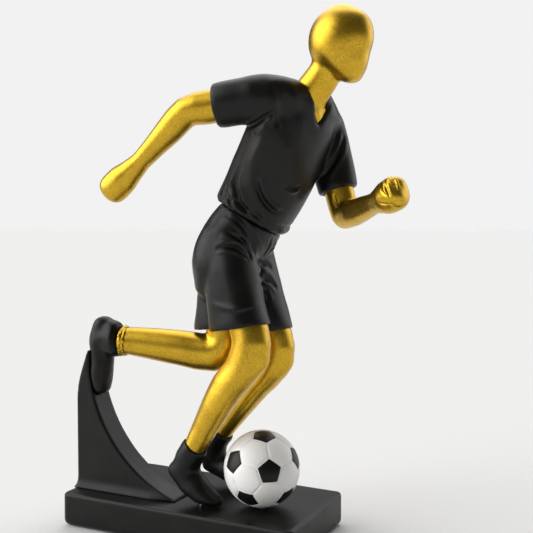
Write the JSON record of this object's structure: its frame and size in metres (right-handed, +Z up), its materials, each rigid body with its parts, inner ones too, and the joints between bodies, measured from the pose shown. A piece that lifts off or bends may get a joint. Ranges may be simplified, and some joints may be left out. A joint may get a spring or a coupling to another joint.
{
  "type": "figure trophy",
  "caption": "Blank-faced footballer in black kit striding over a ball, with trailing boots on a curved rear support, on a rectangular plinth.",
  "frame": {"origin": "centre of the underside of the plinth, on the face of its felt pad", "axes": "+X along the plinth, the way the player runs; +Y to the player's left; +Z up, along the figure"},
  "size_m": [0.2033, 0.0847, 0.3],
  "materials": {
    "gold_paint": "satin",
    "black_paint": "satin",
    "ball_paint": "satin",
    "felt": "matte",
    "steel": "satin"
  },
  "bodies": {
    "root": {"felt_pad": "felt", "plinth": "black_paint", "rear_support": "black_paint", "ball": "ball_paint", "head": "gold_paint", "jersey": "black_paint", "shorts": "black_paint", "right_arm": "gold_paint", "left_arm": "gold_paint", "right_leg": "gold_paint", "left_leg": "gold_paint", "rear_leg": "gold_paint", "right_boot": "black_paint", "left_boot": "black_paint", "rear_boot": "black_paint", "ankle_ring": "gold_paint", "neck_pin": "steel", "right_arm_pin": "steel", "left_arm_pin": "steel", "right_waist_pin": "steel", "left_waist_pin": "steel", "right_thigh_pin": "steel", "left_thigh_pin": "steel", "rear_thigh_pin": "steel", "right_ankle_pin": "steel", "left_ankle_pin": "steel", "rear_ankle_pin": "steel", "right_foot_pin": "steel", "left_foot_pin": "steel", "rear_foot_pin": "steel", "ball_pin": "steel", "front_dowel": "steel", "rear_dowel": "steel"}
  },
  "joints": []
}
